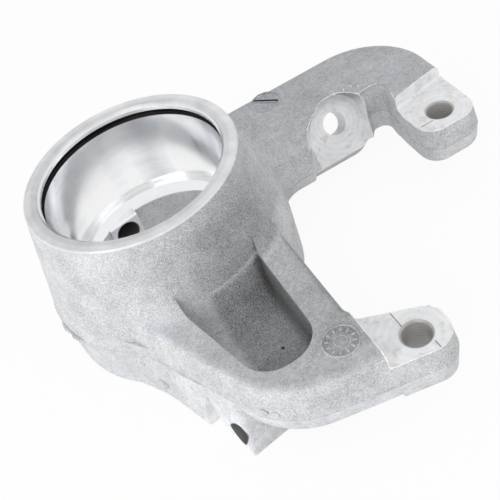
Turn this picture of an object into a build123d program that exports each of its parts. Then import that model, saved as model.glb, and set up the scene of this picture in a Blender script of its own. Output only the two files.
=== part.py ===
"""Cast steering knuckle: one flared bearing housing with two caliper arms and two joint lugs.

Millimetres. +Z is the wheel bearing's axis and points outboard. The sizes below count Z from the
rim's face, and build() moves the finished casting so that the bearing seat's centre is the origin.
"""
import os
from math import cos, radians, sin, sqrt

from build123d import *

# wheel bearing seat
bearing_bore_d = 84.0
bearing_width = 39.5
rim_wall = 7.4
rim_edge_break = 0.6
mouth_chamfer = 1.5
ring_lip = 1.5
ring_groove_w = 3.3
ring_groove_depth = 2.2
shoulder_step = 3.3
shoulder_thick = 6.7
seat_fillet = 0.8

# cast housing
flare = 0.2
parting_z = -53.0
housing_bottom_z = -79.0
bottom_draft = 0.03
cavity_gap = 1.3
cavity_flare = 0.22
bottom_edge_r = 1.0

# both arms
arm_top_z = -36.0
arm_bottom_z = -64.0
arm_draft = 7.5
arm_edge_r = 3.5
root_r = 11.0

# upper arm
upper_outer_y = 52.2
upper_inner_y = -3.5
upper_corner_r = 38.0
upper_root_y = -25.0
upper_root_run = 6.0
upper_root_r = 13.0
upper_under_r = 5.0
throat_under_r = 9.5
throat_x = 40.0
throat_y = 10.0

# lower arm
lower_inner_x = 44.6
lower_inner_end_y = -99.7
lower_inner_r = 5.0
lower_root_x = -42.0
lower_root_y = -32.5
lower_bend_x = -0.5
lower_bend_y = -122.6
lower_bend_r = 38.0
lower_under_r = 5.0
lower_foot_r = 0.8

# caliper ears
ear_hole_d = 12.0
ear_hole_chamfer = 0.7
ear_flat_depth = 7.0
ear_half_width = 16.0
ear_end = 13.5
ear_corner_r = 11.0
ear_cutter_r = 1.8
ear_cut_length = 50.0
ear_cut_width = 60.0
ear_a_x = 140.5
ear_a_y = -20.0
ear_a_step = 17.6
ear_a_turn = 11.0
ear_b_x = 60.0
ear_b_y = -122.0
ear_b_step = 16.6
ear_b_end = 14.5
ear_b_out = 14.7
ear_b_in = 8.6
ear_b_throat_r = 9.0
ear_b_foot_x = 46.0

# pocket in the lower arm
pocket_floor_z = -57.0
pocket_draft = 4.0
pocket_floor_r = 4.0
pocket_corner_r = 13.0
pocket_bend_r = 15.0
pocket_rib = 15.0
pocket_left_x = -9.5
pocket_bend_y = -60.0
pocket_end_y = -107.5
pocket_end_inset = 11.5
pocket_lean = 2.0
pocket_height = 45.0

# tie rod pad
tie_hole_d = 12.0
tie_x = 102.7
tie_y = 18.2
tie_z = -50.8
tie_tilt = 32.0
tie_left = 13.0
tie_right = 14.7
tie_top = 13.4
tie_corner_r = 12.5
tie_wall_draft = 4.0
tie_side_top = 7.5
tie_side_left = 14.0
tie_side_low = 27.0
tie_side_r = 4.0
tie_side_draft = 20.0
tie_reach = 40.0
tie_wall = 13.0
tie_back_d = 24.5
tie_back_depth = 18.0
tie_boss_low = 17.3
tie_boss_left = 20.7
tie_boss_r = 8.0
tie_boss_draft = 18.0

# scoop between the tie rod pad and the upper ear
scoop_start_y = -16.0
scoop_left_x = 110.0
scoop_ear_x = 125.2
scoop_far_x = 129.2
scoop_corner_r = 5.0
scoop_top_y = 11.5
scoop_low_y = 14.0
scoop_rib_r = 2.5
scoop_rib_top_x = 119.0
scoop_rib_low_x = 121.0
scoop_slope_top_x = 113.0
scoop_slope_low_x = 118.3
scoop_slope_low_y = 10.0
scoop_left_low_y = 8.5
scoop_over = 6.0

# joint lugs
lug_turn = 9.7
lug_centre_u = -6.6
lug_half_width = 26.4
lug_half_low = 27.0
lug_half_high = 18.9
lug_reach = 103.8
lug_reach_high = 92.1
lug_top_z = -47.0
lug_corner_r = 2.0
lug_left_r = 60.0
lug_right_r = 20.0
lug_root_left = 52.0
lug_root_right = 50.0
lug_waist_left = 42.5
lug_waist_right = 31.0
lug_waist_y = 50.0
lug_root_y = 24.0
lug_root_low_y = 18.0
lug_narrowing = 6.0
cross_hole_d = 10.0
cross_w = 95.0
cross_z = -71.0
cheek_r = 20.0
cheek_cut = 20.0
stud_hole_d = 12.0
stud_z = -61.0
stud_face_w = 36.5
stud_boss_width = 16.0
stud_boss_low_z = -71.0

# how far a cutter runs past the face that it opens
past = 1.0

# derived sizes
bore_r = bearing_bore_d / 2
rim_r = bore_r + rim_wall
shoulder_r = bore_r - shoulder_step
lip_end_z = -mouth_chamfer - ring_lip
groove_end_z = lip_end_z - ring_groove_w
seat_end_z = groove_end_z - bearing_width
seat_centre_z = (groove_end_z + seat_end_z + seat_fillet) / 2
shoulder_end_z = seat_end_z - shoulder_thick
parting_r = rim_r - flare * parting_z
bottom_r = parting_r + bottom_draft * (housing_bottom_z - parting_z)
cavity_r = shoulder_r + cavity_gap
cavity_end_r = cavity_r + cavity_flare * (shoulder_end_z - housing_bottom_z)
ear_flat_z = arm_top_z - ear_flat_depth


def rounded(corners):
    """A flat face with its corners rounded one by one: each corner is (x, y, radius)."""
    face = make_face(Polyline(*[(x, y) for x, y, r in corners], close=True))
    for x, y, r in corners:
        if r:
            nearest = min(face.vertices(), key=lambda v: (v.X - x) ** 2 + (v.Y - y) ** 2)
            face = fillet(nearest, r)
    return face


def turned(corners):
    """A body turned about Z from (radius, z) corners."""
    return revolve(Plane.XZ * make_face(Polyline(*corners, close=True)), Axis.Z)


def lowest_edges(body, z):
    """The edges that lie in the body's lowest plane, at height z."""
    return [e for e in body.edges() if e.bounding_box().max.Z < z + 0.01]


def cone_r(z):
    """The housing's outside radius above the parting plane."""
    return rim_r - flare * z


def root_body(floor_z, r):
    """All that lies under a floor which sweeps up to the housing's cone with radius r."""
    lean = sqrt(1 + flare ** 2)
    centre_z = floor_z + r
    centre_x = cone_r(centre_z) + r * lean
    nx, nz = 1 / lean, flare / lean
    start = (centre_x - r * nx, centre_z - r * nz)
    mx, mz = -nx / 2, (-nz - 1) / 2
    scale = r / sqrt(mx ** 2 + mz ** 2)
    middle = (centre_x + mx * scale, centre_z + mz * scale)
    end = (centre_x, floor_z)
    far = 2.5 * lug_reach
    low_z = arm_bottom_z - past
    outline = (
        Polyline((0, low_z), (0, start[1]), start)
        + ThreePointArc(start, middle, end)
        + Polyline(end, (far, floor_z), (far, low_z), (0, low_z))
    )
    return revolve(Plane.XZ * make_face(outline), Axis.Z)


def housing():
    """The flared cone, turned, still solid."""
    return turned([
        (0, 0),
        (rim_r - rim_edge_break, 0),
        (rim_r, -rim_edge_break),
        (parting_r, parting_z),
        (bottom_r, housing_bottom_z + bottom_edge_r),
        (bottom_r - bottom_edge_r, housing_bottom_z),
        (0, housing_bottom_z),
    ])


def bore_cut():
    """Everything the bearing and the drive shaft need free inside the housing."""
    return turned([
        (0, past),
        (bore_r + mouth_chamfer + past, past),
        (bore_r, -mouth_chamfer),
        (bore_r, lip_end_z),
        (bore_r + ring_groove_depth, lip_end_z),
        (bore_r + ring_groove_depth, groove_end_z),
        (bore_r, groove_end_z),
        (bore_r, seat_end_z + seat_fillet),
        (bore_r - seat_fillet, seat_end_z),
        (shoulder_r, seat_end_z),
        (shoulder_r, shoulder_end_z),
        (cavity_r, shoulder_end_z - cavity_gap),
        (cavity_end_r, housing_bottom_z),
        (cavity_end_r, housing_bottom_z - past),
        (0, housing_bottom_z - past),
    ])


def edge_radii(edge):
    """The edge's smallest and largest distance from the bearing axis."""
    points = [edge @ t for t in (0.0, 0.25, 0.5, 0.75, 1.0)]
    radii = [sqrt(p.X ** 2 + p.Y ** 2) for p in points]
    return min(radii), max(radii)


def under_half(outline, r):
    """The half of an arm below the parting plane, drafted, with its lowest edge rounded."""
    half = extrude(Plane.XY.offset(parting_z) * outline, arm_bottom_z - parting_z, taper=arm_draft)
    return fillet(lowest_edges(half, arm_bottom_z), r)


def cast_arm(outline, under_r):
    """An arm: its outline lies in the parting plane, the sides draft up and down from there."""
    face = Plane.XY.offset(parting_z) * outline
    upper = extrude(face, root_r + arm_top_z - parting_z, taper=arm_draft)
    upper = upper & root_body(arm_top_z, root_r)
    rims = []
    for edge in upper.edges():
        small, large = edge_radii(edge)
        above = edge.bounding_box().min.Z > arm_top_z - 0.01
        if above and edge.length > 1 and large > cone_r(arm_top_z) - 1 and large - small > 0.5:
            rims.append(edge)
    return fillet(rims, arm_edge_r) + under_half(outline, under_r)


def upper_outline():
    """The upper arm in the parting plane, from the housing to its ear."""
    outer_x = ear_a_x + ear_half_width
    inner_x = ear_a_x - ear_half_width
    end_y = ear_a_y - ear_end
    root_x = sqrt(parting_r ** 2 - upper_root_y ** 2)
    return rounded([
        (0, upper_root_y, 0),
        (root_x, upper_root_y, 0),
        (root_x + upper_root_run, upper_inner_y, upper_root_r),
        (inner_x, upper_inner_y, 0),
        (inner_x, end_y, ear_corner_r),
        (outer_x, end_y, ear_corner_r),
        (outer_x, upper_outer_y, upper_corner_r),
        (0, upper_outer_y, 0),
    ])


def lower_outline():
    """The lower arm in the parting plane, from the housing to its ear."""
    end_x = ear_b_x + ear_b_end
    return rounded([
        (0, lower_root_y, 0),
        (lower_root_x, lower_root_y, 0),
        (lower_bend_x, lower_bend_y, lower_bend_r),
        (end_x, ear_b_y - ear_b_out, ear_corner_r),
        (end_x, ear_b_y + ear_b_in, ear_b_throat_r),
        (lower_inner_x, lower_inner_end_y, lower_inner_r),
        (lower_inner_x, lower_root_y, 0),
    ])


def pocket():
    """The deep pocket between the housing's cone and the lower arm's ribs."""
    right = lower_inner_x - pocket_rib
    floor = rounded([
        (pocket_left_x, lower_root_y, 0),
        (pocket_left_x, pocket_bend_y, pocket_bend_r),
        (pocket_left_x + pocket_end_inset, pocket_end_y, pocket_corner_r),
        (right - pocket_lean, pocket_end_y, pocket_corner_r),
        (right - pocket_lean, lower_root_y, 0),
    ])
    body = extrude(Plane.XY.offset(pocket_floor_z) * floor, pocket_height, taper=-pocket_draft)
    body = fillet(lowest_edges(body, pocket_floor_z), pocket_floor_r)
    return body - root_body(pocket_floor_z, root_r) - housing()


def ear_cut(x, y, step, turn):
    """The faced flat of one ear with the round its cutter leaves, and the bolt hole."""
    high = arm_top_z - ear_flat_z + past
    flat = Pos(0, step - ear_cut_width / 2, ear_flat_z + high / 2) * Box(ear_cut_length, ear_cut_width, high)
    feet = [e for e in lowest_edges(flat, ear_flat_z) if e.center().Y > step - 0.01]
    flat = fillet(feet, ear_cutter_r)
    hole_r = ear_hole_d / 2
    hole = extrude(Plane.XY.offset(ear_flat_z + past) * Circle(hole_r), arm_bottom_z - ear_flat_z - 2 * past)
    lead = loft([
        Pos(0, 0, ear_flat_z - ear_hole_chamfer) * Circle(hole_r),
        Pos(0, 0, ear_flat_z + ear_hole_chamfer) * Circle(hole_r + 2 * ear_hole_chamfer),
    ])
    return Pos(x, y, 0) * Rot(0, 0, turn) * (flat + hole + lead)


def throat():
    """The space under the upper arm's inner edge, from within the housing to the scoop."""
    wide = scoop_slope_low_x - throat_x
    deep = throat_y - 1.5 * upper_root_y
    high = parting_z - arm_bottom_z + past
    centre = Pos(throat_x + wide / 2, throat_y - deep / 2, parting_z - high / 2)
    return centre * Box(wide, deep, high)


def lower_foot():
    """The lower ear's underside stays full nearly to its edge, where the arm itself is rounded."""
    size = ear_cut_width
    deep = 2 * (parting_z - arm_bottom_z)
    room = Pos(ear_b_foot_x + size / 2, ear_b_y, parting_z) * Box(size, size, deep)
    return under_half(lower_outline(), lower_foot_r) & room


def tie_plane():
    """The plane of the tie rod pad, centred on its hole and looking forward and up."""
    lean = radians(tie_tilt)
    return Plane(origin=(tie_x, tie_y, tie_z), x_dir=(1, 0, 0), z_dir=(0, -cos(lean), sin(lean)))


def tie_boss():
    """The drafted boss behind the tie rod pad, which hangs a little under the arm."""
    face = rounded([
        (-tie_boss_left, 0, 0),
        (-tie_boss_left, -tie_boss_low, 0),
        (tie_right, -tie_boss_low, tie_boss_r),
        (tie_right, 0, 0),
    ])
    return extrude(tie_plane() * face, -tie_wall, taper=-tie_boss_draft)


def tie_cut():
    """The leaning tie rod pad: faced from both sides, with its through hole."""
    pad = tie_plane()
    run = rounded([
        (-tie_left, -tie_reach, 0),
        (tie_right, -tie_reach, 0),
        (tie_right, tie_top, tie_corner_r),
        (-tie_left, tie_top, tie_corner_r),
    ])
    side = rounded([
        (-tie_side_low, -tie_reach, 0),
        (0, -tie_reach, 0),
        (0, tie_side_top, 0),
        (-0.6 * tie_side_left, tie_side_top, tie_side_r),
        (-tie_side_left, 0.2 * tie_side_top, tie_side_r),
    ])
    front = extrude(pad * run, tie_reach, taper=-tie_wall_draft)
    front += extrude(pad * side, tie_reach, taper=-tie_side_draft)
    back = extrude(pad.offset(-tie_wall) * Circle(tie_back_d / 2), -tie_back_depth)
    hole = extrude(pad.offset(past) * Circle(tie_hole_d / 2), -tie_wall - 2 * past)
    return front + back + hole


def scoop():
    """The hollow between the tie rod pad and the upper ear, which leaves a sloping rib at the pad."""
    low = rounded([
        (scoop_left_x, scoop_start_y, 0),
        (scoop_ear_x, scoop_start_y, 0),
        (scoop_far_x, scoop_low_y, scoop_corner_r),
        (scoop_rib_low_x, scoop_low_y, scoop_rib_r),
        (scoop_slope_low_x, scoop_slope_low_y, 0),
        (scoop_left_x, scoop_left_low_y, 0),
    ])
    high = rounded([
        (scoop_left_x, scoop_start_y, 0),
        (scoop_ear_x, scoop_start_y, 0),
        (scoop_far_x, scoop_top_y, scoop_corner_r),
        (scoop_rib_top_x, scoop_top_y, scoop_rib_r),
        (scoop_slope_top_x, scoop_top_y - past, 0),
        (scoop_left_x, scoop_top_y - past, 0),
    ])
    bottom = Pos(0, 0, arm_bottom_z - past) * low
    top = Pos(0, 0, arm_top_z + scoop_over) * high
    return loft([bottom, top], ruled=True)


def lug():
    """A joint lug reaching out along +Y: its plan narrows from the low face up into the arm."""
    low = rounded([
        (-lug_root_left, lug_root_y, 0),
        (lug_root_right, lug_root_low_y, 0),
        (lug_waist_right, lug_waist_y, lug_right_r),
        (lug_centre_u + lug_half_low, lug_reach, lug_corner_r),
        (lug_centre_u - lug_half_low, lug_reach, lug_corner_r),
        (-lug_waist_left, lug_waist_y, lug_left_r),
    ])
    high = rounded([
        (-lug_root_left, lug_root_y, 0),
        (lug_root_right, lug_root_low_y, 0),
        (lug_waist_right - lug_narrowing, lug_waist_y, lug_right_r),
        (lug_centre_u + lug_half_high, lug_reach_high, lug_corner_r),
        (lug_centre_u - lug_half_high, lug_reach_high, lug_corner_r),
        (-lug_waist_left + lug_narrowing, lug_waist_y + lug_narrowing, lug_left_r),
    ])
    body = loft([Pos(0, 0, housing_bottom_z) * low, Pos(0, 0, lug_top_z) * high], ruled=True)
    rim = [e for e in lowest_edges(body, housing_bottom_z) if e.center().Y > lug_root_y + past]
    return fillet(rim, bottom_edge_r)


def cross_cut():
    """The cross bolt hole through a lug, and the cheeks its cutter faces on both sides."""
    axis = Pos(lug_centre_u, cross_w, cross_z) * Rot(0, 90, 0)
    cut = axis * Cylinder(cross_hole_d / 2, 3 * lug_half_width)
    for side in (1, -1):
        cut += axis * Pos(0, 0, side * (lug_half_width + cheek_cut / 2)) * Cylinder(cheek_r, cheek_cut)
    return cut


def stud_boss():
    """The flat boss inside the cavity where the upper lug's stud hole comes out."""
    deep = cavity_end_r - stud_face_w
    high = shoulder_end_z - stud_boss_low_z
    centre = Pos(lug_centre_u, stud_face_w + deep / 2, shoulder_end_z - high / 2)
    return centre * Box(stud_boss_width, deep, high)


def stud_hole():
    """The round way for the upper joint's stud, from the boss out through the lug's end."""
    start = Pos(lug_centre_u, stud_face_w - past, stud_z) * Rot(-90, 0, 0)
    return start * extrude(Circle(stud_hole_d / 2), lug_reach)


def build():
    upper = cast_arm(upper_outline(), upper_under_r)
    upper = upper - throat() + (under_half(upper_outline(), throat_under_r) & throat())
    upper -= ear_cut(ear_a_x, ear_a_y, ear_a_step, ear_a_turn)
    upper += tie_boss()
    upper -= scoop()
    upper -= tie_cut()
    lower = cast_arm(lower_outline(), lower_under_r)
    lower += lower_foot()
    lower -= ear_cut(ear_b_x, ear_b_y, ear_b_step, 90)
    body = housing() + upper + lower
    turn = Rot(0, 0, lug_turn)
    joint = lug() - cross_cut()
    body += turn * (joint + mirror(joint, about=Plane.XZ))
    body -= pocket()
    body -= bore_cut()
    body += turn * stud_boss()
    body -= turn * stud_hole()
    return Pos(0, 0, -seat_centre_z) * body


if __name__ == "__main__":
    os.makedirs("parts", exist_ok=True)
    knuckle = build()
    print("solids", len(knuckle.solids()), "volume", round(knuckle.volume))
    export_step(knuckle, "parts/knuckle.step")
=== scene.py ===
"""Looks for a cast steering knuckle: sand-cast skin, turned bore, milled faces, flash line and marks."""

import math
import random
from types import SimpleNamespace

import bmesh
import bpy
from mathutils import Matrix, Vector, noise
from mathutils.bvhtree import BVHTree


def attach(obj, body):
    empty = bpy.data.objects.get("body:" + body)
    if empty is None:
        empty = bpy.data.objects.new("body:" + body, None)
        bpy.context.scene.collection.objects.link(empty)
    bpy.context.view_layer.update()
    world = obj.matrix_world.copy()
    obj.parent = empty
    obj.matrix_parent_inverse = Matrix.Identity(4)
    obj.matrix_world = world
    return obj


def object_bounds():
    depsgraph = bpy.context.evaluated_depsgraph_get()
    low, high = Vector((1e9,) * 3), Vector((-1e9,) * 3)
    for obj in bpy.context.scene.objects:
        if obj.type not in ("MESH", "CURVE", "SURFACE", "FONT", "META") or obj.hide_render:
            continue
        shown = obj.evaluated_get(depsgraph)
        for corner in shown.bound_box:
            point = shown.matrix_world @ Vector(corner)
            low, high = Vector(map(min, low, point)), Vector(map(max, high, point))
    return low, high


bl_info = {
    "name": "Cast knuckle looks",
    "version": (1, 0, 0),
    "blender": (4, 5, 0),
    "location": "View3D > Sidebar > Knuckle",
    "description": "Dresses a cast steering knuckle with its skin, machined faces, flash line and cast marks",
    "category": "Object",
}

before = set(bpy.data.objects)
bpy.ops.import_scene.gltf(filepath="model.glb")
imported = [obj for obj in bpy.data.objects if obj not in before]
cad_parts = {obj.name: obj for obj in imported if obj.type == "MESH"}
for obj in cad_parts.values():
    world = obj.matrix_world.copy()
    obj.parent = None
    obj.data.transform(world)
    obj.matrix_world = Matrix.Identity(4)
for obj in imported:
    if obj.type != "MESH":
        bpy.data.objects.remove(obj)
CAD_BOX = [list(corner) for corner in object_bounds()]
CASTING = "knuckle"
MM = 0.001

# places on the casting, in millimetres from the bearing seat's centre
RIM_Z = 25.65
RIM_R = 52.0
BORE_R = 42.0
GROOVE_R = 45.5
GROOVE_LOW, GROOVE_HIGH = 19.35, 22.65
CAVITY_R = 46.0
SHOULDER_END_Z = -28.85
ARM_TOP_Z = -10.35
PARTING_Z = -27.35
BOTTOM_Z = -53.35
# how far a mask reaches past the edge of the face that it belongs to
PAST = 0.12

# each ear: its hole's x and y, how far its step is from the hole, and the turn of the step's way in degrees
EARS = ((140.5, -20.0, 17.6, 11.0), (60.0, -122.0, 16.6, 90.0))
EAR_FLAT_Z = -17.35
EAR_HALF, EAR_REACH = 24.0, 30.0
EAR_HOLE_R = 6.9
EAR_HOLE_LOW_Z = -45.0
# the faced parts of the ears lie beyond a least x and short of a most y; the burrs start a little further out
EAR_CUTS = ((118.0, 5.0), (42.0, -100.0))
EAR_BURRS = ((118.0, 6.0), (40.0, -100.0))
HOLE_CLEAR = 9.0

# the leaning tie rod pad: its middle, its lean in degrees, its hole and the spot face behind it, both with
# their radius and their reach out of the pad's plane
PAD = (102.7, 18.2, -25.15)
PAD_TILT = 32.0
PAD_HOLE_R, PAD_HOLE_OUT = 6.3, (-14.0, 0.6)
PAD_BACK_R, PAD_BACK_OUT = 12.6, (-31.4, -12.7)
PAD_CLEAR = 19.0
# the recess round the pad: its reach out of the plane, up the plane and to both sides, whose walls flare
RECESS_OUT = (-0.3, 17.0)
RECESS_UP = (-18.2, 19.0)
RECESS_EAST, EAST_FLARE = 15.1, 0.07
RECESS_WEST, WEST_FLARE = -16.0, -0.36
# where burrs are looked for along the recess's edges
BURR_ACROSS = 24.0
BURR_OUT = (-0.2, 19.0)
BURR_UP = (-19.0, 20.0)
BURR_MOST_Y = 22.0

# the joint lugs, in axes that are turned about Z: cheeks, cross holes and the stud's hole with its boss
LUG_TURN = 9.7
LUG_CENTRE = -6.6
LUG_HALF = 26.4
CHEEK_R = 20.2
CROSS_W, CROSS_Z = 95.0, -45.35
CROSS_HOLE_R = 5.3
STUD_Z = -35.35
STUD_HOLE_R = 6.3
STUD_FROM_W = 30.0
STUD_BOSS_HALF, STUD_BOSS_W = 8.4, (36.2, 37.0)

# the lower arm's pocket with its slanting west wall, and the flank of the housing above it, both with painted
# shade; in the pocket the shade eases beyond POCKET_LIT_X, where light falls
POCKET_X, POCKET_Y = (2.0, 43.0), (-112.0, -30.0)
POCKET_FROM_R = 53.0
POCKET_LIT_X = 25.5
WEST_WALL_Y, WEST_WALL_SLANT = -97.0, 0.42
FLANK_WAY, FLANK_MIDDLE, FLANK_HALF = (0.94, 0.34), 8.0, 26.0
FLANK_R = (50.0, 66.0)
FLANK_MOST_Y = -20.0

# marks that the mould and the cutters leave
EAR_LINES = ((57.1, -115.9, 57.6, -107.4), (63.4, -133.8, 63.9, -129.0), (127.5, -24.4, 134.2, -23.9))
CORE_PIT, CORE_PIT_R = (17.1, -83.6), 0.8
DIAL_AT = (33.8, -112.1)
DIAL_STAIN_R, DIAL_HUB_R = 6.9, 4.3
DIAL_HALF_WIDTH, HUB_HALF_WIDTH, HUB_SHARE = 0.55, 0.35, 0.36
TICKS, TICK_FROM, TICK_TO, TICK_WIDTH = 12, 0.60, 0.92, 1.5
POINTER_HALF, POINTER_WIDTH = (1.3, -0.4, 0.0), 0.6
SLOT_AT = (79.0, 41.6)
SLOT_STAIN_R = 7.6
SLOT_RING_HALF_WIDTH = 0.45
SLOT_ENDS = ((74.3, 46.9), (84.2, 37.4))
SLOT_WIDTH = 1.0
LIP_OFF, LIP_WIDTH = 0.3, 0.75
CHIPS = (
    (111.9, 18.0, 112.9, 20.2),
    (116.3, 18.2, 116.8, 20.4),
    (118.6, 16.0, 119.4, 17.0),
    (107.0, 19.2, 107.5, 20.6),
)
CHIP_WIDTH, CHIP_RISE, CHIP_SINK = 0.6, 0.25, 0.1

# the flash line: spacing of its points, the least height that shows, and the fin's reach round the housing
FLASH_STEP = 0.8 * MM
FLASH_LEAST = 0.06 * MM
FLASH_SINK = 0.5 * MM
FLASH_DRIFT = 0.35 * MM
FIN_AZIMUTHS = (186.0, 206.0)
FIN_REACH = 75.0
FIN_RAMP = 6.0

# burrs: spacing of their points, the least angle of an edge that gets one, and the corners round the thread
BURR_STEP = 0.6 * MM
BURR_ANGLE = 0.45
BURR_CORNERS = 5

# lumps that sand leaves: the named ones with their sizes, and how the others are spread round them
LUMPS = (
    ((-3.7, -103.0, -24.5), 1.5),
    ((-2.6, -110.4, -24.5), 1.7),
    ((0.5, -114.0, -24.5), 1.4),
    ((-1.6, -117.0, -25.3), 1.1),
    ((-41.0, -58.5, -45.0), 2.7),
    ((-43.0, -52.0, -35.0), 1.2),
    ((-30.0, -60.0, -36.0), 1.0),
    ((-22.0, -72.0, -36.0), 0.8),
)
LUMP_SEED = 11
LUMP_SPREAD = 14
LUMP_SIZES = (0.45, 0.9)
LUMP_CLEAR = 3.0
LUMP_OFF_PARTING = 1.0

# noises over the casting: features per millimetre, detail, roughness and, for some, a stretch
SKIN_NAME = "cast_aluminium"
NOISES = {
    "sand": (2.0, 2.0, 0.75),
    "pebble": (0.5, 2.0, 0.6),
    "stain": (0.045, 4.0, 0.6),
    "blotch": (0.13, 4.0, 0.65),
    "streaks": (0.5, 3.0, 0.6, (0.22, 1.4, 1.0)),
    "hollows": (0.75, 1.0, 0.5),
    "grit": (2.4, 1.0, 0.5),
    "seam_drift": (0.12, 2.0, 0.5),
    "seam_gaps": (0.07, 3.0, 0.5),
    "smear": (0.09, 4.0, 0.6),
    "milling": (0.16, 3.0, 0.6, (0.4, 1.6, 1.0)),
    "cutter_drift": (0.08, 2.0, 0.5),
    "reamer_drift": (0.2, 2.0, 0.5),
    "rust_spots": (0.22, 4.0, 0.6),
}
# spots where a noise is over a limit: the noise, the limit and how soft the spot's edge is
SPOTS = {
    "scratches": ("streaks", 0.21, 0.03),
    "specks": ("grit", 0.19, 0.03),
    "tarnished": ("stain", 0.05, 0.08),
    "seam_shown": ("seam_gaps", -0.06, 0.05),
    "rusty": ("rust_spots", 0.10, 0.06),
}

# what the cast skin's tone is made of
SKIN_PARTS = {"grain": 1.0, "pebble": 0.30, "smooth_pebble": 0.25, "stain": 0.62, "blotch": 0.52}
# how much lighter, or darker below 0, the cast skin is where each mask is full
SKIN_CHANGES = {
    # painted shade over the pocket
    "burnt": -1.0,
    # painted shade on the housing's flank above the pocket
    "flank": -0.36,
    # painted light: the cast cavity under the bore shoulder is made lighter
    "cavity": 0.60,
    # painted shade on the far ends of the arms' level tops
    "far_top": -0.17,
    # painted light below the parting line
    "low_half": 0.13,
    "core_pit": -0.9,
    "dial_stain": -1.0,
    "disc_stain": -1.0,
    "pits": -0.45,
    # painted shadow just under the flash line
    "seam": -0.5,
    "scratches": 0.26,
    "specks": 0.28,
    "slot": -0.93,
}
DARKEST_SKIN = 0.03

# what the grain's strength, the skin's relief and the cut faces' tones are made of
COARSE_PARTS = {"pocket": 1.0, "flank": 0.5, "smooth": -0.35, "low_half": -0.3}
MILLED_LEVEL = 0.88
MILLED_PARTS = {
    "reamed": 0.12,
    "swirl": 0.025,
    "milling": 0.22,
    "smear": 0.34,
    "blotch": 0.20,
    # painted shade on the recess's roof and upper walls
    "roof": -0.42,
    "recess_top": -0.14,
    "cheeks": -0.12,
}
# the bore wall's bands, streaks and sheen in here are painted reflections
TURNED_PARTS = {"turning": 0.08, "sheen": -0.16, "smear": 0.10, "rim_shade": -1.0, "wall_tone": 1.0}
RELIEF_PARTS = {"blotch": 0.12, "pits": -0.15, "slot": -0.5}
CUT_ROUGHNESS_PARTS = {"smear": 0.16, "rim": 0.16, "bright": 0.12, "wall": -0.04}

# colours; the metal's greys are all slightly cool
COOL = 0.012
WHITE = (1.0, 1.0, 1.0, 1.0)
TARNISH = (0.90, 0.93, 1.0, 1.0)
RUST = (0.46, 0.41, 0.34, 1.0)
# painted shade for the ring groove
GROOVE_SHADE = (0.016, 0.013, 0.010, 1.0)
# painted shade for the lug holes and ear holes
HOLE_SHADE = (0.05, 0.045, 0.04, 1.0)
LINE_STAIN = (0.10, 0.075, 0.05, 1.0)

# the floor lies a hair below the casting; the soft lamps round it have a name, azimuth and height in
# degrees, side in metres and watts
FLOOR_GAP = 0.15 * MM
FLOOR_GLOW = 0.92
SENSOR_WIDTH = 36.0
CLIP_START = 0.01
LAMP_REACH = 1.1
LAMPS = (
    ("low_left_lamp", 200.0, 2.0, 0.7, 6.7),
    ("front_left_lamp", 225.0, 30.0, 0.7, 2.2),
    ("front_right_lamp", 315.0, 30.0, 0.7, 0.9),
)


class Value:
    """A number socket that can be used in Python sums; each sum adds its Math node."""

    def __init__(self, graph, socket):
        self.graph = graph
        self.socket = socket

    def _math(self, operation, *others, clamp=False):
        values = dict(enumerate((self, *others)))
        return self.graph.node("ShaderNodeMath", {"operation": operation, "use_clamp": clamp}, values).value()

    def _swapped(self, operation, other):
        return self.graph.node("ShaderNodeMath", {"operation": operation}, {0: other, 1: self}).value()

    def __add__(self, other):
        return self._math("ADD", other)

    __radd__ = __add__

    def __sub__(self, other):
        return self._math("SUBTRACT", other)

    def __rsub__(self, other):
        return self._swapped("SUBTRACT", other)

    def __mul__(self, other):
        return self._math("MULTIPLY", other)

    __rmul__ = __mul__

    def __truediv__(self, other):
        return self._math("DIVIDE", other)

    def __abs__(self):
        return self._math("ABSOLUTE")

    def least(self, other):
        return self._math("MINIMUM", other)

    def most(self, other):
        return self._math("MAXIMUM", other)

    def root(self):
        return self._math("SQRT")

    def sine(self):
        return self._math("SINE")

    def clamped(self):
        return self._math("ADD", 0.0, clamp=True)

    def below(self, edge, soft=0.05):
        """1 where this value is under edge, 0 above it, with a soft step."""
        return ((edge - self) / (2 * soft) + 0.5).clamped()

    def above(self, edge, soft=0.05):
        """1 where this value is over edge, 0 below it, with a soft step."""
        return ((self - edge) / (2 * soft) + 0.5).clamped()

    def between(self, low, high, soft=0.05):
        return self.above(low, soft) * self.below(high, soft)


class Step:
    """One node, whose outputs are handed on as numbers or as colours and vectors."""

    def __init__(self, graph, node):
        self.graph = graph
        self.node = node

    def value(self, output=0):
        return Value(self.graph, self.node.outputs[output])

    def out(self, output=0):
        return self.node.outputs[output]


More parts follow.
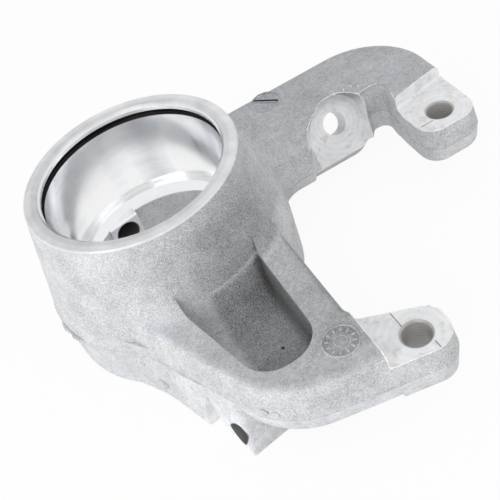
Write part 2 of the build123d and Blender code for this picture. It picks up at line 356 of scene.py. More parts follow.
class Graph:
    """The nodes of a material or of the world."""

    def __init__(self, owner):
        owner.use_nodes = True
        self.owner = owner
        self.tree = owner.node_tree
        self.tree.nodes.clear()

    def node(self, kind, settings=None, sockets=None):
        """Adds a node of a kind, sets it, then gives its sockets their values or links."""
        node = self.tree.nodes.new(kind)
        for key, setting in (settings or {}).items():
            setattr(node, key, setting)
        for key, given in (sockets or {}).items():
            self._give(node.inputs[key], given)
        return Step(self, node)

    def _give(self, socket, given):
        if isinstance(given, Value):
            given = given.socket
        if isinstance(given, bpy.types.NodeSocket):
            self.tree.links.new(given, socket)
        elif socket.type == "VECTOR" and len(given) == 4:
            socket.default_value = given[:3]
        else:
            socket.default_value = given

    def place(self):
        """The object's own coordinates in millimetres."""
        return self.scaled(self.node("ShaderNodeTexCoord").out("Object"), 1 / MM)

    def numbers(self, vector):
        """The three numbers of a vector."""
        parts = self.node("ShaderNodeSeparateXYZ", None, {0: vector})
        return [parts.value(k) for k in range(3)]

    def flat(self, first, second):
        """A vector of two numbers."""
        return self.node("ShaderNodeCombineXYZ", None, {0: first, 1: second}).out()

    def scaled(self, given, gain):
        """A vector or a colour times a number."""
        return self.node("ShaderNodeVectorMath", {"operation": "SCALE"}, {0: given, "Scale": gain}).out()

    def noise(self, where, scale, detail=2.0, roughness=0.5, stretch=None):
        """Noise with a mean of 0 between about -0.5 and 0.5; scale is in features per millimetre."""
        if stretch:
            where = self.node("ShaderNodeVectorMath", {"operation": "MULTIPLY"}, {0: where, 1: stretch}).out()
        sockets = {"Vector": where, "Scale": scale, "Detail": detail, "Roughness": roughness}
        return self.node("ShaderNodeTexNoise", None, sockets).value(0) - 0.5

    def mix(self, factor, first, second, blend="MIX"):
        """Mixes two colours."""
        settings = {"data_type": "RGBA", "blend_type": blend, "clamp_factor": True}
        return self.node("ShaderNodeMix", settings, {0: factor, 6: first, 7: second}).out(2)

    def bump(self, height, strength=1.0):
        """The way that the surface faces, from a relief in millimetres."""
        sockets = {"Strength": strength, "Distance": MM, "Height": height}
        return self.node("ShaderNodeBump", None, sockets).out()

    def finish(self, **sockets):
        """Adds the surface shader and the output, and gives the material."""
        names = {key.replace("_", " "): given for key, given in sockets.items()}
        shader = self.node("ShaderNodeBsdfPrincipled", None, names)
        self.node("ShaderNodeOutputMaterial", None, {0: shader.out()})
        return self.owner


def turned_by(x, y, degrees):
    """Two coordinates seen from axes that are turned by an angle about Z."""
    c, s = math.cos(math.radians(degrees)), math.sin(math.radians(degrees))
    return x * c + y * s, y * c - x * s


def reach(across, up):
    """How far a place is from the origin of two coordinates."""
    return (across * across + up * up).root()


def bore_masks(r, z):
    """The turned rim, the bore with its shoulder, the ring groove's floor, and the cast cavity below."""
    rim = z.above(RIM_Z - 0.7) * r.below(RIM_R)
    bore = r.below(CAVITY_R) * z.above(SHOULDER_END_Z + 0.1)
    groove = r.between(BORE_R + PAST, GROOVE_R) * z.between(GROOVE_LOW - 0.02, GROOVE_HIGH + 0.02)
    wall = bore * r.between(BORE_R - 0.3, BORE_R + 0.1)
    cavity = r.below(CAVITY_R, 1.0) * z.below(SHOULDER_END_Z)
    return {"rim": rim, "bore": bore, "groove": groove, "wall": wall, "cavity": cavity}


def ear_masks(x, y, z):
    """The faced ears up to their cutter's step, their holes, and how far the nearest hole's middle is."""
    flats, holes, nearest = [], [], []
    for ear_x, ear_y, step, turn in EARS:
        along, across = turned_by(x - ear_x, y - ear_y, turn)
        flat = across.below(step + PAST) * along.between(-EAR_HALF, EAR_HALF) * across.above(-EAR_REACH)
        flats.append(flat * z.between(EAR_FLAT_Z - 0.3, ARM_TOP_Z + 0.2))
        nearest.append(reach(x - ear_x, y - ear_y))
        holes.append(nearest[-1].below(EAR_HOLE_R) * z.above(EAR_HOLE_LOW_Z))
    return {"ears": flats[0].most(flats[1]), "holes": holes[0].most(holes[1]),
            "ear_reach": nearest[0].least(nearest[1])}


def pad_axes(x, y, z):
    """Across the pad, up it and out of it."""
    c, s = math.cos(math.radians(PAD_TILT)), math.sin(math.radians(PAD_TILT))
    across, back, rise = x - PAD[0], y - PAD[1], z - PAD[2]
    return across, back * s + rise * c, rise * s - back * c


def pad_masks(x, y, z):
    """The pad and its recess with painted shade on the roof and upper walls, the hole, the spot face behind,
    and the reach.
    """
    across, up, out = pad_axes(x, y, z)
    recess = out.between(*RECESS_OUT) * up.between(*RECESS_UP) * z.below(ARM_TOP_Z - PAST)
    recess = recess * across.below(out * EAST_FLARE + RECESS_EAST)
    recess = recess * across.above(out * WEST_FLARE + RECESS_WEST)
    tie_reach = reach(across, up)
    return {
        "recess": recess,
        "recess_top": recess * up.above(9.0, 3.0),
        "roof": recess * up.above(5.0, 3.0) * out.above(0.4, 0.3),
        "tie_hole": tie_reach.below(PAD_HOLE_R) * out.between(*PAD_HOLE_OUT),
        "tie_back": tie_reach.below(PAD_BACK_R) * out.between(*PAD_BACK_OUT),
        "tie_reach": tie_reach,
    }


def lug_masks(x, y, z):
    """The cheeks that a cutter faces round each cross hole, the lugs' holes, and the stud's boss."""
    u, w = turned_by(x, y, LUG_TURN)
    side = u - LUG_CENTRE
    wide = abs(side)
    cross_reach = reach(abs(w) - CROSS_W, z - CROSS_Z)
    stud = reach(side, z - STUD_Z).below(STUD_HOLE_R) * w.above(STUD_FROM_W)
    return {
        "cheeks": cross_reach.below(CHEEK_R) * wide.above(LUG_HALF - 0.2),
        "lug_holes": cross_reach.below(CROSS_HOLE_R).most(stud),
        "boss": wide.below(STUD_BOSS_HALF) * w.between(*STUD_BOSS_W) * z.below(SHOULDER_END_Z),
    }


def pocket_mask(x, y, z, r):
    """The lower arm's pocket, where the skin has coarser grain and a painted shade."""
    deep = z.below(ARM_TOP_Z - 0.9, 1.3) * r.above(POCKET_FROM_R, 4.0)
    inside = x.between(*POCKET_X, 1.5) * y.between(*POCKET_Y, 1.5)
    return deep * inside * (x + (y - WEST_WALL_Y) * WEST_WALL_SLANT).above(0.0, 2.0)


def flank_mask(x, y, z, r):
    """The housing's flank above the pocket, with coarser grain and a painted shade that makes it a little
    darker.
    """
    aside = abs(x * FLANK_WAY[0] + y * FLANK_WAY[1] - FLANK_MIDDLE)
    flank = aside.below(FLANK_HALF, 14.0) * y.below(FLANK_MOST_Y, 14.0)
    return flank * r.between(*FLANK_R, 2.0) * z.above(ARM_TOP_Z + 0.9, 0.6)


def disc_mask(x, y, z, middle, radius):
    """A round patch on the arms' level tops."""
    disc = reach(x - middle[0], y - middle[1]).below(radius, 0.4)
    return disc * z.between(ARM_TOP_Z - 0.5, ARM_TOP_Z + PAST)


def line_mask(x, y, z):
    """Thin stained lines across the ears."""
    lines = 0.0
    for low_x, low_y, high_x, high_y in EAR_LINES:
        lines = x.between(low_x, high_x, 0.15) * y.between(low_y, high_y, 0.15) + lines
    return lines * z.between(EAR_FLAT_Z - 0.1, EAR_FLAT_Z + 0.1)


def slot_mask(x, y, z):
    """The floor of the round mark's slot."""
    (x0, y0), (x1, y1) = SLOT_ENDS
    length = math.hypot(x1 - x0, y1 - y0)
    c, s = (x1 - x0) / length, (y1 - y0) / length
    along = (x - x0) * c + (y - y0) * s
    aside = abs((y - y0) * c - (x - x0) * s)
    return aside.below(SLOT_WIDTH / 2 + 0.1, 0.1) * along.between(0.0, length) * z.above(ARM_TOP_Z - 0.3, 0.1)


def grey(level, blue=0.0):
    """A grey, made cool by a share of blue."""
    return (level * (1 - blue), level, level * (1 + 1.6 * blue), 1.0)


def sum_of(level, parts, at):
    """A level plus each named value times its weight."""
    for name, weight in parts.items():
        level = getattr(at, name) * weight + level
    return level


def casting_places(g):
    """The noises and the masks over the casting, by name."""
    where = g.place()
    x, y, z = g.numbers(where)
    r = reach(x, y)
    noises = {name: g.noise(where, *numbers) for name, numbers in NOISES.items()}
    at = SimpleNamespace(where=where, x=x, y=y, z=z, r=r, **noises, **bore_masks(r, z),
                         **ear_masks(x, y, z), **pad_masks(x, y, z), **lug_masks(x, y, z))
    at.pocket = pocket_mask(x, y, z, r)
    at.flank = flank_mask(x, y, z, r)
    at.slot = slot_mask(x, y, z)
    at.lines = line_mask(x, y, z)
    for name, (source, limit, soft) in SPOTS.items():
        setattr(at, name, getattr(at, source).above(limit, soft))
    return at


def cast_skin(g, at, look):
    """The sand-cast skin's colour: grain, pebbles, stains, pale scratches and dark pits, with painted shade
    in the pocket, on the flank, on the far arm tops and under the flash line, and painted light in the cavity
    and below the parting line.
    """
    x, y, z, r = at.x, at.y, at.z, at.r
    arm_top = z.above(ARM_TOP_Z - 1.2, 0.8)
    at.smooth = arm_top * r.above(60.0, 3.0)
    at.smooth = at.smooth.most(z.below(PARTING_Z + 2.0, 6.0) * (x + y * 0.3).below(10.0, 12.0))
    # painted shade: the arms' level tops darker far from the bore
    at.far_top = arm_top * r.above(80.0, 9.0)
    # painted light: the skin lighter below the parting line, where its grain is also milder
    at.low_half = z.below(PARTING_Z - 0.3, 0.4) * r.above(70.0, 3.0)
    at.coarse = sum_of(1.0, COARSE_PARTS, at)

    # painted shade: the pocket's skin darker, less so past POCKET_LIT_X where light falls
    at.burnt = at.pocket * (1.0 - look.pocket + x.above(POCKET_LIT_X, 1.5) * 0.36)
    at.core_pit = reach(x - CORE_PIT[0], y - CORE_PIT[1]).below(CORE_PIT_R, 0.15) * at.pocket
    hub = disc_mask(x, y, z, DIAL_AT, DIAL_HUB_R)
    at.dial_stain = disc_mask(x, y, z, DIAL_AT, DIAL_STAIN_R) * (1.0 - hub * 0.75) * (0.27 + at.blotch * 0.6)
    at.disc_stain = disc_mask(x, y, z, SLOT_AT, SLOT_STAIN_R) * (0.12 - at.sand * 0.8)
    at.pits = at.hollows.below(-0.30, 0.02)
    # painted shadow: a broken dark line just under the flash line, standing in for the flash's shadow
    seam = abs(z - (PARTING_Z - 0.45) + at.seam_drift * 1.2).below(0.16, 0.12)
    at.seam = seam * at.seam_shown * r.above(50.0) * (1.0 - at.pocket)

    at.grain = at.sand * look.grain * at.coarse
    at.smooth_pebble = at.pebble * at.smooth
    tone = sum_of(1.0, SKIN_PARTS, at)
    for name, change in SKIN_CHANGES.items():
        tone = tone * (getattr(at, name) * change + 1.0)
    skin = g.scaled(grey(look.skin, COOL), tone.most(DARKEST_SKIN))
    return g.mix(at.tarnished * at.smooth * 0.5, skin, TARNISH, "MULTIPLY")


def cut_metal(g, at, look):
    """The colour of turned and milled metal: tool marks, smears and rust, with painted reflection bands and a
    painted sheen on the bore wall and painted shade on the pad recess's roof and upper walls.
    """
    azimuth = g.node("ShaderNodeMath", {"operation": "ARCTAN2"}, {0: at.y, 1: at.x}).value() * math.degrees(1)
    at.turning = g.noise(g.flat(at.r * 2.2 + at.z * 1.6, azimuth * 0.01), 1.0, 1.0)
    # painted reflections: bands and streaks round the bore wall with a slight lift of its tone, and a painted
    # sheen on one side of it
    band = g.noise(g.flat(azimuth * 0.06, at.z * 0.006), 0.55, 1.5)
    streak = g.noise(g.flat(azimuth * 0.022, at.z * 0.11), 1.0, 4.0, 0.65)
    at.wall_tone = at.wall * (band * 0.7 + streak * 0.35 + 0.02)
    at.rim_shade = at.rim * (0.20 - at.smear * 0.40 + (at.x * -0.02).clamped() * 0.10)
    at.sheen = ((azimuth - 52.0) * 0.09).sine() * azimuth.between(20.0, 78.0, 6.0) * at.wall
    turned = sum_of(1.0, TURNED_PARTS, at)

    at.swirl = (at.tie_reach.least(at.ear_reach) * 2.3 + at.cutter_drift * 9.0).sine()
    at.reamed = (at.z * 3.6 + at.reamer_drift * 5.0).sine() * at.holes
    milled = sum_of(MILLED_LEVEL, MILLED_PARTS, at)

    flats = at.ears.most(at.recess).most(at.cheeks).most(at.boss)
    at.bright = flats.most(at.holes).most(at.tie_hole).most(at.lug_holes).most(at.tie_back)
    finish = g.node("ShaderNodeMix", {"data_type": "FLOAT"}, {0: at.bright, 2: turned, 3: milled}).value()
    metal = g.scaled(grey(look.metal, COOL), finish)
    rust = at.rusty * at.ears.most(at.recess) * 0.35
    return g.mix(rust.most(at.holes * (at.smear + 0.45).clamped() * 0.7), metal, RUST)


def casting_material(look):
    """Sand-cast aluminium that turns into bright metal wherever a cutter has been."""
    g = Graph(bpy.data.materials.new(SKIN_NAME))
    at = casting_places(g)
    skin, metal = cast_skin(g, at, look), cut_metal(g, at, look)
    machined = at.rim.most(at.bore).most(at.bright)
    colour = g.mix(machined, skin, metal)
    # painted shade: the ring groove's floor turned almost black
    colour = g.mix(at.groove, colour, GROOVE_SHADE)
    # painted shade: the lug holes darkened, and the ear holes less so
    colour = g.mix((at.lug_holes * 0.8).most(at.holes * 0.34), colour, HOLE_SHADE)
    colour = g.mix(at.lines * 0.75, colour, LINE_STAIN)

    rough_skin = 0.66 + at.sand * 0.15
    rough_metal = sum_of(look.polish, CUT_ROUGHNESS_PARTS, at)
    roughness = rough_skin + (rough_metal - rough_skin) * machined
    relief = sum_of((at.sand * 0.26 + at.pebble * 0.20) * at.coarse, RELIEF_PARTS, at)
    relief = relief * (1.0 - machined) + machined * (at.turning * 0.003 + at.bright * at.swirl * 0.003)
    return g.finish(
        Base_Color=colour,
        Roughness=roughness.most(0.08),
        Metallic=0.06 + machined * look.shine + at.bore * 0.70,
        Normal=g.bump(relief),
        IOR=1.5,
    )


def burr_material(look):
    """Bright torn metal."""
    g = Graph(bpy.data.materials.new("bright_burr"))
    where = g.place()
    rough = g.noise(where, 1.2, 2.0, 0.6)
    colour = g.scaled(grey(look.metal), 1.0 + rough * 0.5 + g.noise(where, 0.09, 3.0) * 0.7)
    normal = g.bump(rough * 0.1, 0.6)
    return g.finish(Base_Color=colour, Roughness=0.34 + rough * 0.2, Metallic=0.3, Normal=normal)


def casting_surface():
    """The casting's mesh, with its split corners joined."""
    surface = bmesh.new()
    surface.from_mesh(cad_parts[CASTING].data)
    bmesh.ops.remove_doubles(surface, verts=surface.verts, dist=0.002 * MM)
    return surface


def lines_through(edges):
    """Joins edges end to end into lines of points, always starting with the first edge by place."""
    waiting = set(edges)
    lines = []
    for edge in sorted(edges, key=lambda edge: tuple(edge.verts[0].co + edge.verts[1].co)):
        if edge not in waiting:
            continue
        waiting.discard(edge)
        points = [vert.co.copy() for vert in edge.verts]
        for end in (1, 0):
            last = edge.verts[end]
            while going := next((other for other in last.link_edges if other in waiting), None):
                waiting.discard(going)
                last = going.other_vert(last)
                points.insert(len(points) if end else 0, last.co.copy())
        lines.append(points)
    return lines


def line_length(points):
    return sum((b - a).length for a, b in zip(points, points[1:]))


def outer_line(height):
    """The outer closed line in which a level plane cuts the casting."""
    surface = casting_surface()
    geometry = surface.verts[:] + surface.edges[:] + surface.faces[:]
    cut = bmesh.ops.bisect_plane(
        surface, geom=geometry, dist=1e-7, plane_co=(0, 0, height * MM), plane_no=(0, 0, 1))
    lines = lines_through([item for item in cut["geom_cut"] if isinstance(item, bmesh.types.BMEdge)])
    surface.free()
    return max(lines, key=line_length)


def sharp_lines(wanted):
    """The casting's sharp edges in lines, where both ends of an edge are at a wanted place."""
    surface = casting_surface()
    lines = lines_through([
        edge for edge in surface.edges
        if len(edge.link_faces) == 2 and edge.calc_face_angle() > BURR_ANGLE
        and all(wanted(vert.co / MM) for vert in edge.verts)])
    surface.free()
    return lines


def evenly(points, step):
    """Points at equal steps along a line."""
    spaced, rest = [], 0.0
    for a, b in zip(points, points[1:]):
        length = (b - a).length
        while rest < length:
            spaced.append(a.lerp(b, rest / length))
            rest += step
        rest -= length
    return spaced


def outward_ways(points):
    """The level way out of a closed level line at each of its points."""
    area = sum(a.x * b.y - b.x * a.y for a, b in zip(points, points[1:] + points[:1]))
    side = 1.0 if area > 0 else -1.0
    ways = []
    for before, after in zip(points[-1:] + points[:-1], points[1:] + points[:1]):
        along = after - before
        ways.append(Vector((along.y, -along.x, 0.0)).normalized() * side)
    return ways


def way_at(turn):
    """The level way at an angle about Z, in radians."""
    return Vector((math.cos(turn), math.sin(turn), 0.0))


def strip(mesh, rows, closed=False):
    """Adds a strip through rows of points, each row going round it; an open strip's ends are capped."""
    rings = [[mesh.verts.new(point) for point in row] for row in rows]
    following = rings[1:] + rings[:1] if closed else rings[1:]
    for first, second in zip(rings, following):
        for k in range(len(first)):
            n = (k + 1) % len(first)
            mesh.faces.new((first[k], first[n], second[n], second[k]))
    if not closed:
        mesh.faces.new(list(reversed(rings[0])))
        mesh.faces.new(rings[-1])


def ring(mesh, centre, radius, half_width, rise, rough, sink=0.3, steps=64):
    """Adds a raised ring that lies on a level face: centre, radius and sizes in millimetres."""
    rows = []
    for k in range(steps):
        way = way_at(2 * math.pi * k / steps)
        top = rise * (1.0 + rough * noise.noise(Vector((way.x * 3, way.y * 3, radius))))
        profile = ((-1.0, -sink), (-0.55, top), (0.55, top), (1.0, -sink))
        rows.append([(centre + way * (radius + out * half_width) + Vector((0, 0, up))) * MM
                     for out, up in profile])
    strip(mesh, rows, closed=True)


def bar(mesh, start, end, width, rise, sink=0.3, parts=8):
    """Adds a raised bar with sloped sides that lies on a level face, in millimetres."""
    along = (end - start).normalized()
    aside = Vector((-along.y, along.x, 0.0)) * (width / 2)
    low = Vector((0, 0, -sink))
    rows = []
    for k in range(parts + 1):
        ease = 0.25 if k in (0, parts) else 1.0
        middle = start.lerp(end, k / parts)
        top = Vector((0, 0, rise * ease * (1 + 0.15 * noise.noise(middle))))
        rows.append([(middle + aside + low) * MM, (middle + aside * 0.5 + top) * MM,
                     (middle - aside * 0.5 + top) * MM, (middle - aside + low) * MM])
    strip(mesh, rows)


def lump(mesh, place, normal, size, seed):
    """Adds a low uneven blister, half sunk in the surface."""
    made = bmesh.ops.create_icosphere(mesh, subdivisions=2, radius=size)["verts"]
    turn = normal.to_track_quat("Z", "Y").to_matrix()
    for vert in made:
        rough = 1.0 + 0.35 * noise.noise(vert.co / size * 1.3 + Vector((seed, 0, 0)))
        flat = Vector((vert.co.x * rough * 1.25, vert.co.y * rough, vert.co.z * 0.42 * rough))
        vert.co = place + turn @ flat


def is_burred_at(place):
    """Whether an edge at a place, in millimetres, has a burr: round the recess and at the ears' steps."""
    x, y, z = place
    across, up, out = pad_axes(x, y, z)
    by_recess = abs(across) < BURR_ACROSS and BURR_OUT[0] < out < BURR_OUT[1]
    if by_recess and BURR_UP[0] < up < BURR_UP[1] and math.hypot(across, up) > HOLE_CLEAR:
        return y < BURR_MOST_Y
    for (least_x, most_y), ear in zip(EAR_BURRS, EARS):
        if x > least_x and y < most_y and z > EAR_FLAT_Z - 0.2:
            return math.hypot(x - ear[0], y - ear[1]) > HOLE_CLEAR
    return False


def is_cut_at(place):
    """Whether a place on the surface, in millimetres, has been faced or drilled."""
    x, y, z = place
    if math.hypot(x - PAD[0], y - PAD[1]) < PAD_CLEAR:
        return True
    if z > EAR_FLAT_Z - 0.5 and any(x > least_x and y < most_y for least_x, most_y in EAR_CUTS):
        return True
    u, w = turned_by(x, y, LUG_TURN)
    off_hole = math.hypot(abs(w) - CROSS_W, z - CROSS_Z)
    return abs(u - LUG_CENTRE) > LUG_HALF - 0.8 and off_hole < CHEEK_R + 0.8


def keep(mesh, name, material=None):
    """Turns a bmesh into a piece of the casting, in the casting's own skin unless a material is given."""
    if not mesh.faces:
        mesh.free()
        raise RuntimeError(f"{name} is empty")
    bmesh.ops.recalc_face_normals(mesh, faces=mesh.faces)
    data = bpy.data.meshes.new(name)
    mesh.to_mesh(data)
    mesh.free()
    for face in data.polygons:
        face.use_smooth = True
    piece = bpy.data.objects.new(name, data)
    bpy.context.scene.collection.objects.link(piece)
    data.materials.append(material or bpy.data.materials[SKIN_NAME])
    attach(piece, "root")


class KnuckleLook(bpy.types.PropertyGroup):
    """Colours and roughness of the casting."""

    skin: bpy.props.FloatProperty(
        name="Cast skin", description="Grey level of the sand-cast skin", default=0.565, min=0.0, max=1.0)
    metal: bpy.props.FloatProperty(
        name="Cut metal", description="Grey level of turned and milled faces", default=0.97, min=0.0, max=1.0)
    shine: bpy.props.FloatProperty(
        name="Shine", description="How metallic turned and milled faces are", default=0.14, min=0.0, max=0.9)
    # painted shade: the pocket's skin is drawn at this share of the skin's brightness
    pocket: bpy.props.FloatProperty(
        name="Pocket", description="How bright the sand-burnt pocket is, as a share of the skin",
        default=0.67, min=0.0, max=1.0)
    grain: bpy.props.FloatProperty(
        name="Grain", description="How strongly the sand grain varies the skin's tone", default=2.0,
        min=0.0, max=4.0)
    polish: bpy.props.FloatProperty(
        name="Cut roughness", description="Roughness of turned and milled faces", default=0.22,
        min=0.0, max=1.0)


class CastMarks(bpy.types.PropertyGroup):
    """Sizes of the flash line and of the marks that the mould leaves."""

    flash_rise: bpy.props.FloatProperty(
        name="Flash height", description="How far the flash line stands out where it is highest",
        default=0.55 * MM, unit="LENGTH")
    flash_width: bpy.props.FloatProperty(
        name="Flash width", description="Width of the flash line's foot", default=1.0 * MM, unit="LENGTH")
    fin_rise: bpy.props.FloatProperty(
        name="Fin height", description="How far the torn fin on the housing stands out",
        default=1.9 * MM, unit="LENGTH")
    dial_radius: bpy.props.FloatProperty(
        name="Dial radius", description="Radius of the date dial on the lower arm", default=7.4 * MM,
        unit="LENGTH")
    mark_radius: bpy.props.FloatProperty(
        name="Slot mark radius", description="Radius of the slotted round mark on the upper arm",
        default=7.6 * MM, unit="LENGTH")
    mark_rise: bpy.props.FloatProperty(
        name="Mark height", description="How far the marks stand out of the skin", default=0.45 * MM,
        unit="LENGTH")
    burr: bpy.props.FloatProperty(
        name="Burr", description="Thickness of the burrs along cut edges", default=0.55 * MM, unit="LENGTH")
    lump_count: bpy.props.IntProperty(
        name="Sand lumps", description="How many small lumps the sand has left", default=34, min=0, max=200)


class StageLook(bpy.types.PropertyGroup):
    """The floor, the lamps and the camera."""

    floor_tone: bpy.props.FloatProperty(
        name="Floor", description="Grey level of the floor", default=0.88, min=0.0, max=1.0)
    floor_size: bpy.props.FloatProperty(
        name="Floor size", description="Side of the square floor", default=6.0, unit="LENGTH")
    sky: bpy.props.FloatProperty(
        name="Surround light", description="Strength of the white surround", default=0.776, min=0.0)
    lamps: bpy.props.FloatProperty(
        name="Lamps", description="Scales the power of all soft lamps", default=1.0, min=0.0)
    camera_at: bpy.props.FloatVectorProperty(
        name="Camera place", description="Where the camera stands", default=(-0.0201, -0.3180, 0.25665),
        subtype="TRANSLATION", unit="LENGTH")
    camera_turn: bpy.props.FloatVectorProperty(
        name="Camera turn", description="How the camera is turned",
        default=(0.761713, 0.285920, -0.458926), subtype="EULER")
    lens: bpy.props.FloatProperty(
        name="Lens", description="Focal length on a 36 mm sensor", default=64.68, unit="CAMERA")


class CAST_OT_skin(bpy.types.Operator):
    """Give the casting its sand-cast skin and its machined faces"""
    bl_idname = "cast.skin"
    bl_label = "Dress the casting"

    def execute(self, context):
        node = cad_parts[CASTING]
        material = casting_material(context.scene.knuckle_look)
        node.data.materials.clear()
        node.data.materials.append(material)
        return {"FINISHED"}


class CAST_OT_flash(bpy.types.Operator):
    """Add the broken flash line along the casting's parting plane, and the torn fin on the housing"""
    bl_idname = "cast.flash"
    bl_label = "Add the flash line"

    def execute(self, context):
        marks = context.scene.knuckle_marks
        points = evenly(outer_line(PARTING_Z), FLASH_STEP)
        mesh = bmesh.new()
        stretches = [[]]
        for point, way in zip(points, outward_ways(points)):
            rise = self.rise(point / MM, marks)
            if rise > FLASH_LEAST:
                stretches[-1].append(self.row(point, way, rise, marks.flash_width))
            else:
                stretches.append([])
        for rows in stretches:
            if len(rows) > 3:
                strip(mesh, rows)
        keep(mesh, "flash_line")
        return {"FINISHED"}

    @staticmethod
    def rise(place, marks):
        """How far the flash stands out at a place on the parting line, which is in millimetres."""
        if is_cut_at(place):
            return 0.0
        azimuth = math.degrees(math.atan2(place.y, place.x)) % 360
        fine = noise.noise(place * 0.45)
        start, end = FIN_AZIMUTHS
        if start < azimuth < end and place.length < FIN_REACH:
            middle = (azimuth - start) / (end - start)
            ramp = min(1.0, FIN_RAMP * middle, FIN_RAMP * (1 - middle))
            return marks.fin_rise * ramp * (0.8 + 0.35 * fine)
        slow = noise.noise(place * 0.06 + Vector((7.0, 3.0, 1.0)))
        return marks.flash_rise * (0.42 + 0.9 * slow + 0.45 * fine)

    @staticmethod
    def row(point, way, rise, width):
        """The four corners of the flash at a point: two at its foot, two at its edge."""
        up = Vector((0, 0, width / 2))
        middle = point + Vector((0, 0, FLASH_DRIFT * noise.noise(point / MM * 0.12)))
        foot = middle - way * FLASH_SINK
        edge = middle + way * rise
        return [foot + up, edge + up * 0.25, edge - up * 0.35, foot - up]


class CAST_OT_burrs(bpy.types.Operator):
    """Add the thin bright burrs that the cutters leave along the edges of the faces they cut"""
    bl_idname = "cast.burrs"
    bl_label = "Add the burrs"

    def execute(self, context):
        scene = context.scene
        lines = [evenly(points, BURR_STEP) for points in sharp_lines(is_burred_at)]
        if not lines:
            raise RuntimeError("no edge for the burrs was found")
        mesh = bmesh.new()
        for points in lines:
            if len(points) > 4:
                self.burr(mesh, points, scene.knuckle_marks.burr)
        for start_x, start_y, end_x, end_y in CHIPS:
            start, end = Vector((start_x, start_y, ARM_TOP_Z)), Vector((end_x, end_y, ARM_TOP_Z))
            bar(mesh, start, end, CHIP_WIDTH, CHIP_RISE, CHIP_SINK, parts=6)
        keep(mesh, "cut_burrs", burr_material(scene.knuckle_look))
        return {"FINISHED"}

    @staticmethod
    def burr(mesh, points, size):
        """A thin uneven thread along an edge."""
        rows = []
        for k, point in enumerate(points):
            along = (points[min(k + 1, len(points) - 1)] - points[max(k - 1, 0)]).normalized()
            aside = along.orthogonal().normalized()
            other = along.cross(aside)
            ease = 0.3 if k in (0, len(points) - 1) else 1.0
            radius = size / 2 * ease * (0.75 + 0.7 * noise.noise(point / MM * 0.5))
            turns = [math.tau * corner / BURR_CORNERS for corner in range(BURR_CORNERS)]
            rows.append([point + (aside * math.cos(turn) + other * math.sin(turn)) * radius
                         for turn in turns])
        strip(mesh, rows)


class CAST_OT_marks(bpy.types.Operator):
    """Add the date dial, the slotted round mark and the small lumps that sand leaves"""
    bl_idname = "cast.marks"
    bl_label = "Add the cast marks"

    def execute(self, context):
        marks = context.scene.knuckle_marks
        self.dial(marks)
        self.slotted(marks)
        self.lumps(marks)
        return {"FINISHED"}

    @staticmethod
    def dial(marks):
        """A dial of two rings, ticks between them and a short pointer."""
        radius, rise = marks.dial_radius / MM, marks.mark_rise / MM
        centre = Vector((*DIAL_AT, ARM_TOP_Z))
        mesh = bmesh.new()
        ring(mesh, centre, radius, DIAL_HALF_WIDTH, rise, rough=0.8)
        ring(mesh, centre, radius * HUB_SHARE, HUB_HALF_WIDTH, rise * 0.8, rough=0.8, steps=32)
        for k in range(TICKS):
            way = way_at(math.tau * k / TICKS) * radius
            bar(mesh, centre + way * TICK_FROM, centre + way * TICK_TO, TICK_WIDTH, rise * 0.9, parts=3)
        half = Vector(POINTER_HALF)
        bar(mesh, centre - half, centre + half, POINTER_WIDTH, rise, parts=4)
        keep(mesh, "date_dial")

    @staticmethod
    def slotted(marks):
        """A raised ring with a slot across it, between two raised lips."""
        rise = marks.mark_rise / MM
        centre, radius = Vector((*SLOT_AT, ARM_TOP_Z)), marks.mark_radius / MM
        mesh = bmesh.new()
        ring(mesh, centre, radius, SLOT_RING_HALF_WIDTH, rise * 0.8, rough=1.2)
        start, end = (Vector((*spot, ARM_TOP_Z)) for spot in SLOT_ENDS)
        along = (end - start).normalized()
        aside = Vector((-along.y, along.x, 0.0)) * (SLOT_WIDTH / 2 + LIP_OFF)
        for side in (aside, -aside):
            bar(mesh, start + side, end + side, LIP_WIDTH, rise * 1.3, parts=14)
        keep(mesh, "slotted_mark")

    @staticmethod
    def lumps(marks):
        """Flat uneven lumps, each sunk in the skin at the nearest place to its spot."""
        surface = casting_surface()
        tree = BVHTree.FromBMesh(surface)
        mesh = bmesh.new()
        chance = random.Random(LUMP_SEED)
        for k in range(marks.lump_count):
            spot, size = LUMPS[k % len(LUMPS)]
            if k >= len(LUMPS):
                spot = tuple(value + chance.uniform(-LUMP_SPREAD, LUMP_SPREAD) for value in spot)
                size = chance.uniform(*LUMP_SIZES)
            place, normal = tree.find_nearest(Vector(spot) * MM)[:2]
            height = place.z / MM
            if height - BOTTOM_Z < LUMP_CLEAR or abs(height - PARTING_Z) < LUMP_OFF_PARTING:
                continue
            if not is_cut_at(place / MM):
                lump(mesh, place, normal, size * MM, k)
        surface.free()
        keep(mesh, "sand_lumps")


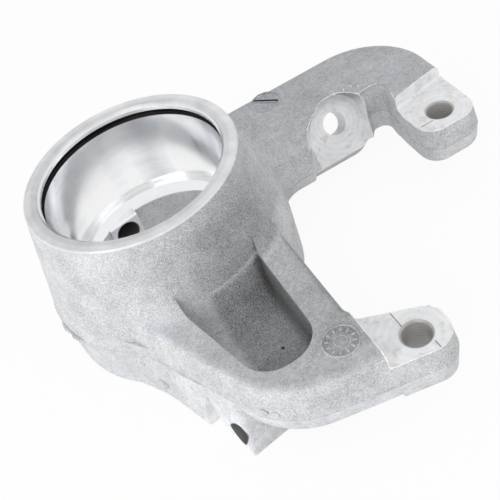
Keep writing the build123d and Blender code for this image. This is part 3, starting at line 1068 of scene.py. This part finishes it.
class CAST_OT_stage(bpy.types.Operator):
    """Lay the pale floor, hang the lamps and set up the camera"""
    bl_idname = "cast.stage"
    bl_label = "Set the stage"

    def execute(self, context):
        scene = context.scene
        stage = scene.knuckle_stage
        self.floor(scene, stage)
        self.world(scene, stage)
        self.lamps(scene, stage)
        self.camera(scene, stage)
        scene.view_settings.view_transform = "Standard"
        return {"FINISHED"}

    @staticmethod
    def floor(scene, stage):
        """A pale floor that takes shadows, is seen as almost white and is clear from below."""
        half = stage.floor_size / 2
        low = CAD_BOX[0][2] - FLOOR_GAP
        corners = [(-half, -half, low), (half, -half, low), (half, half, low), (-half, half, low)]
        mesh = bpy.data.meshes.new("floor")
        mesh.from_pydata(corners, [], [(0, 1, 2, 3)])
        floor = bpy.data.objects.new("floor", mesh)
        scene.collection.objects.link(floor)
        g = Graph(bpy.data.materials.new("pale_floor"))
        tone = 1.0 + g.noise(g.place(), 0.02, 3.0) * 0.02
        diffuse = g.node("ShaderNodeBsdfDiffuse", None, {"Color": g.scaled(grey(stage.floor_tone), tone)})
        glow = g.node("ShaderNodeEmission", None, {"Color": WHITE, "Strength": 1.0})
        rays = g.node("ShaderNodeLightPath")
        seen = rays.value("Is Camera Ray").most(rays.value("Is Glossy Ray")) * FLOOR_GLOW
        above = g.node("ShaderNodeMixShader", None, {0: seen, 1: diffuse.out(), 2: glow.out()})
        under = g.node("ShaderNodeNewGeometry").value("Backfacing")
        clear = g.node("ShaderNodeBsdfTransparent")
        surface = g.node("ShaderNodeMixShader", None, {0: under, 1: above.out(), 2: clear.out()})
        g.node("ShaderNodeOutputMaterial", None, {0: surface.out()})
        mesh.materials.append(g.owner)

    @staticmethod
    def world(scene, stage):
        """White where it is seen, and a little dimmer as the light that falls on the casting."""
        g = Graph(bpy.data.worlds.new("surround"))
        rays = g.node("ShaderNodeLightPath")
        seen = rays.value("Is Camera Ray").most(rays.value("Is Transmission Ray"))
        strength = seen * (1.0 - stage.sky) + stage.sky
        background = g.node("ShaderNodeBackground", None, {"Color": WHITE, "Strength": strength})
        g.node("ShaderNodeOutputWorld", None, {0: background.out()})
        scene.world = g.owner

    @staticmethod
    def lamps(scene, stage):
        """Square soft lamps that all face the bearing seat."""
        for name, azimuth, height, size, power in LAMPS:
            tilt = math.radians(height)
            way = way_at(math.radians(azimuth)) * math.cos(tilt) + Vector((0, 0, math.sin(tilt)))
            light = bpy.data.lights.new(name, "AREA")
            light.energy = power * stage.lamps
            light.size = size
            lamp = bpy.data.objects.new(name, light)
            lamp.location = way * LAMP_REACH
            lamp.rotation_euler = way.to_track_quat("Z", "Y").to_euler()
            scene.collection.objects.link(lamp)

    @staticmethod
    def camera(scene, stage):
        data = bpy.data.cameras.new("camera")
        data.lens = stage.lens
        data.sensor_width = SENSOR_WIDTH
        data.clip_start = CLIP_START
        camera = bpy.data.objects.new("camera", data)
        camera.location = stage.camera_at
        camera.rotation_euler = stage.camera_turn
        scene.collection.objects.link(camera)
        scene.camera = camera


class CAST_PT_panel(bpy.types.Panel):
    """Lists the knuckle's settings and steps in the sidebar"""
    bl_idname = "CAST_PT_panel"
    bl_label = "Knuckle"
    bl_space_type = "VIEW_3D"
    bl_region_type = "UI"
    bl_category = "Knuckle"

    def draw(self, context):
        for name, group in GROUPS.items():
            for key in group.__annotations__:
                self.layout.prop(getattr(context.scene, name), key)
        for step in STEPS:
            self.layout.operator(step.bl_idname)


GROUPS = {"knuckle_look": KnuckleLook, "knuckle_marks": CastMarks, "knuckle_stage": StageLook}
STEPS = (CAST_OT_skin, CAST_OT_flash, CAST_OT_burrs, CAST_OT_marks, CAST_OT_stage)
CLASSES = (*GROUPS.values(), *STEPS, CAST_PT_panel)


def register():
    for item in CLASSES:
        bpy.utils.register_class(item)
    for name, group in GROUPS.items():
        setattr(bpy.types.Scene, name, bpy.props.PointerProperty(type=group))


def unregister():
    for name in GROUPS:
        delattr(bpy.types.Scene, name)
    for item in reversed(CLASSES):
        bpy.utils.unregister_class(item)


def main():
    register()
    bpy.ops.cast.skin()
    bpy.ops.cast.flash()
    bpy.ops.cast.burrs()
    bpy.ops.cast.marks()
    bpy.ops.cast.stage()


if __name__ == "__main__":
    main()
